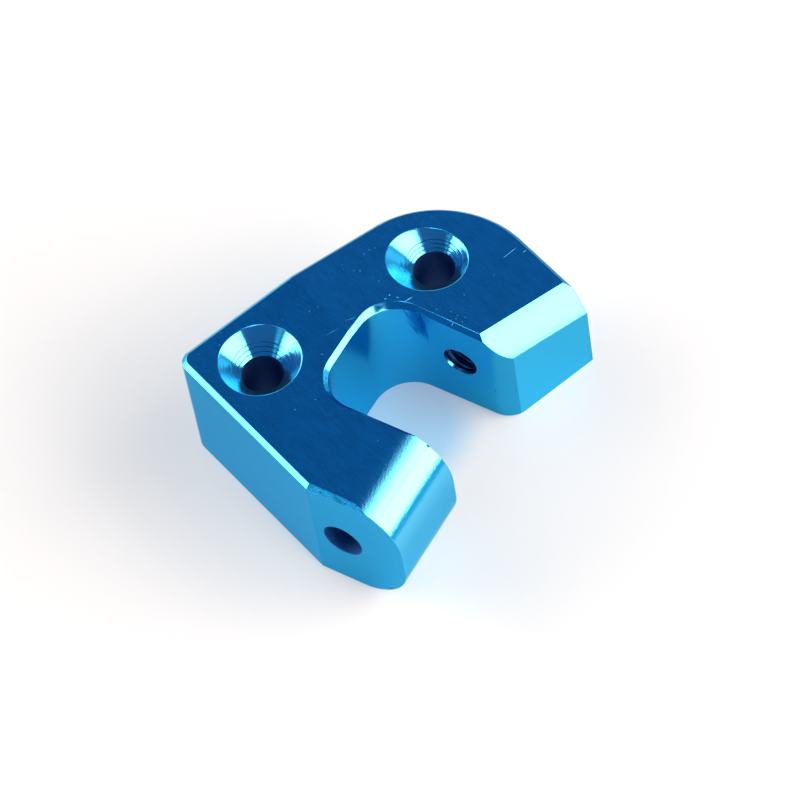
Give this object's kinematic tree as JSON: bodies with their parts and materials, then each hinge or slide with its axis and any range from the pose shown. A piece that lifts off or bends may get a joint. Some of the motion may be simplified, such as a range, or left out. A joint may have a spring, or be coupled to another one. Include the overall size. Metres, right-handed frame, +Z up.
{
  "type": "rc car steering arm",
  "caption": "Anodised aluminium bracket: a countersunk mounting block with two arms and a slot between them, and a hinge line bored across both arms.",
  "frame": {"origin": "midway between the axes of the two mounting screws, on the underside", "axes": "+X along the two arms towards their open ends, +Y along the hinge line from the near arm to the far arm, +Z up, along the mounting screws towards their heads"},
  "size_m": [0.0223, 0.0269, 0.0106],
  "materials": {
    "blue_anodised": "machined, then anodised a clear bright blue"
  },
  "bodies": {
    "root": {"steering_arm": "blue_anodised"}
  },
  "joints": []
}
